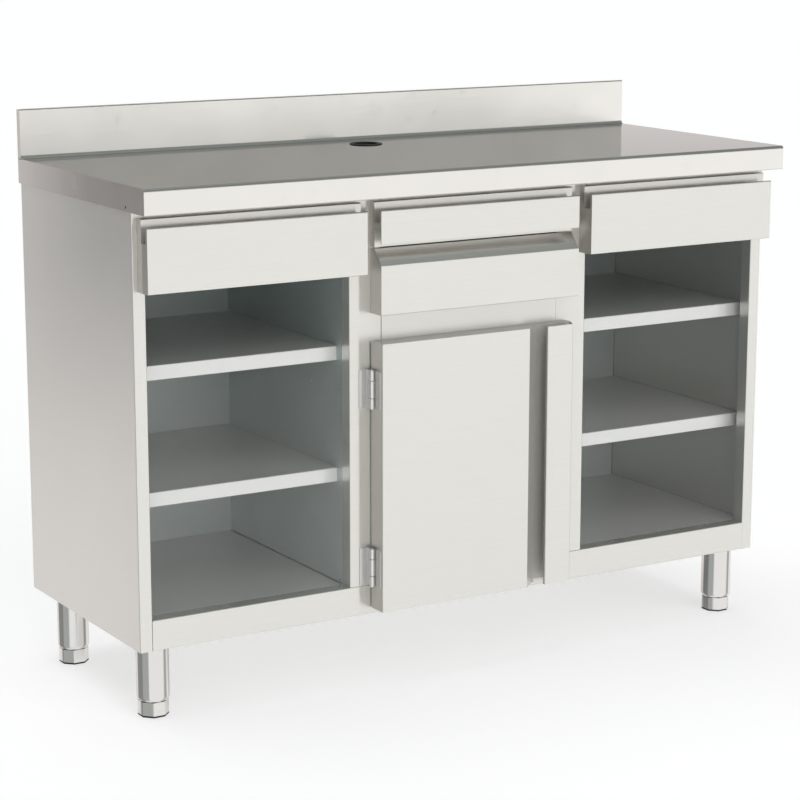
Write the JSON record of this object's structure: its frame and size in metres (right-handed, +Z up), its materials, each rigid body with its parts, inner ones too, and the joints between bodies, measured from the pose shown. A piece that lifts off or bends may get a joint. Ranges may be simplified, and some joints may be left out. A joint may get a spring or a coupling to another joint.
{
  "type": "waiter service station",
  "caption": "Stainless steel bar counter with an upstand and cable hole, open shelf bays at both ends, drawers above and a hinged cupboard between them, on levelling feet.",
  "frame": {"origin": "on the floor, under the middle of the worktop's length and depth", "axes": "+X along the counter to the right as seen from the waiter's side, +Y towards the upstand, +Z up; the drawers and the door face -Y"},
  "size_m": [1.5, 0.6, 1.15],
  "materials": {
    "worktop_steel": "satin brushed stainless steel",
    "frame_steel": "satin brushed stainless steel",
    "front_steel": "satin brushed stainless steel, grain along the front",
    "inner_steel": "dull stainless steel",
    "shelf_steel": "satin brushed stainless steel",
    "zinc_steel": "zinc-plated steel",
    "hinge_steel": "polished steel",
    "pin_steel": "polished steel",
    "leg_steel": "ground stainless steel tube",
    "bush_plastic": "grey glass-filled plastic",
    "board_wood": "raw water-resistant board",
    "grommet_plastic": "black moulded plastic",
    "magnet_plastic": "white moulded plastic",
    "sole_rubber": "black rubber"
  },
  "bodies": {
    "carcass": {"worktop_sheet": "worktop_steel", "left_side_panel": "frame_steel", "right_side_panel": "frame_steel", "middle_posts": "frame_steel", "bottom_rail": "frame_steel", "centre_rail": "frame_steel", "top_rails": "frame_steel", "dividers": "inner_steel", "back_panel": "inner_steel", "left_upper_shelf": "shelf_steel", "right_upper_shelf": "shelf_steel", "left_lower_shelf": "shelf_steel", "right_lower_shelf": "shelf_steel", "cupboard_shelf": "shelf_steel", "base_panel": "shelf_steel", "shelf_angles": "zinc_steel", "fixed_runners": "zinc_steel", "runner_brackets": "zinc_steel", "hinge_frame_leaves": "hinge_steel", "hinge_pins": "pin_steel", "divider_rivets": "pin_steel", "leg_tubes": "leg_steel", "leg_flanges": "leg_steel", "leg_bushes": "bush_plastic", "worktop_board": "board_wood", "cable_grommet": "grommet_plastic", "door_magnet": "magnet_plastic"},
    "left_drawer": {"left_drawer_front": "front_steel", "left_drawer_backer": "front_steel", "left_drawer_box": "inner_steel", "left_drawer_runners": "zinc_steel"},
    "left_drawer_middle_members": {"left_drawer_middle_runners": "zinc_steel"},
    "right_drawer": {"right_drawer_front": "front_steel", "right_drawer_backer": "front_steel", "right_drawer_box": "inner_steel", "right_drawer_runners": "zinc_steel"},
    "right_drawer_middle_members": {"right_drawer_middle_runners": "zinc_steel"},
    "upper_drawer": {"upper_drawer_front": "front_steel", "upper_drawer_backer": "front_steel", "upper_drawer_box": "inner_steel", "upper_drawer_runners": "zinc_steel"},
    "upper_drawer_middle_members": {"upper_drawer_middle_runners": "zinc_steel"},
    "lower_drawer": {"lower_drawer_front": "front_steel", "lower_drawer_backer": "front_steel", "lower_drawer_box": "inner_steel", "lower_drawer_runners": "zinc_steel"},
    "lower_drawer_middle_members": {"lower_drawer_middle_runners": "zinc_steel"},
    "door": {"door_skin": "front_steel", "door_liner": "inner_steel", "door_grip": "front_steel", "door_strike": "zinc_steel", "hinge_door_leaves": "hinge_steel"},
    "foot_front_left": {"foot_front_left": "leg_steel", "sole_front_left": "sole_rubber"},
    "foot_front_right": {"foot_front_right": "leg_steel", "sole_front_right": "sole_rubber"},
    "foot_back_left": {"foot_back_left": "leg_steel", "sole_back_left": "sole_rubber"},
    "foot_back_right": {"foot_back_right": "leg_steel", "sole_back_right": "sole_rubber"}
  },
  "joints": [
    {"name": "left_drawer_slide", "type": "slide", "parent": "carcass", "child": "left_drawer", "axis": [0, -1, 0], "range_m": [0, 0.34]},
    {"name": "left_drawer_middle_slide", "type": "slide", "parent": "carcass", "child": "left_drawer_middle_members", "axis": [0, -1, 0], "range_m": [0, 0.17]},
    {"name": "right_drawer_slide", "type": "slide", "parent": "carcass", "child": "right_drawer", "axis": [0, -1, 0], "range_m": [0, 0.34]},
    {"name": "right_drawer_middle_slide", "type": "slide", "parent": "carcass", "child": "right_drawer_middle_members", "axis": [0, -1, 0], "range_m": [0, 0.17]},
    {"name": "upper_drawer_slide", "type": "slide", "parent": "carcass", "child": "upper_drawer", "axis": [0, -1, 0], "range_m": [0, 0.34]},
    {"name": "upper_drawer_middle_slide", "type": "slide", "parent": "carcass", "child": "upper_drawer_middle_members", "axis": [0, -1, 0], "range_m": [0, 0.17]},
    {"name": "lower_drawer_slide", "type": "slide", "parent": "carcass", "child": "lower_drawer", "axis": [0, -1, 0], "range_m": [0, 0.34]},
    {"name": "lower_drawer_middle_slide", "type": "slide", "parent": "carcass", "child": "lower_drawer_middle_members", "axis": [0, -1, 0], "range_m": [0, 0.17]},
    {"name": "door_hinge", "type": "hinge", "parent": "carcass", "child": "door", "pos_m": [-0.2415, -0.2525, 0.435], "axis": [0, 0, -1], "range_deg": [0, 110]},
    {"name": "foot_front_left_screw", "type": "slide", "parent": "carcass", "child": "foot_front_left", "axis": [0, 0, -1], "range_m": [0, 0.03]},
    {"name": "foot_front_right_screw", "type": "slide", "parent": "carcass", "child": "foot_front_right", "axis": [0, 0, -1], "range_m": [0, 0.03]},
    {"name": "foot_back_left_screw", "type": "slide", "parent": "carcass", "child": "foot_back_left", "axis": [0, 0, -1], "range_m": [0, 0.03]},
    {"name": "foot_back_right_screw", "type": "slide", "parent": "carcass", "child": "foot_back_right", "axis": [0, 0, -1], "range_m": [0, 0.03]}
  ],
  "couplings": [
    {"joint": "left_drawer_middle_slide", "follows": "left_drawer_slide", "ratio": 0.5},
    {"joint": "right_drawer_middle_slide", "follows": "right_drawer_slide", "ratio": 0.5},
    {"joint": "upper_drawer_middle_slide", "follows": "upper_drawer_slide", "ratio": 0.5},
    {"joint": "lower_drawer_middle_slide", "follows": "lower_drawer_slide", "ratio": 0.5}
  ]
}
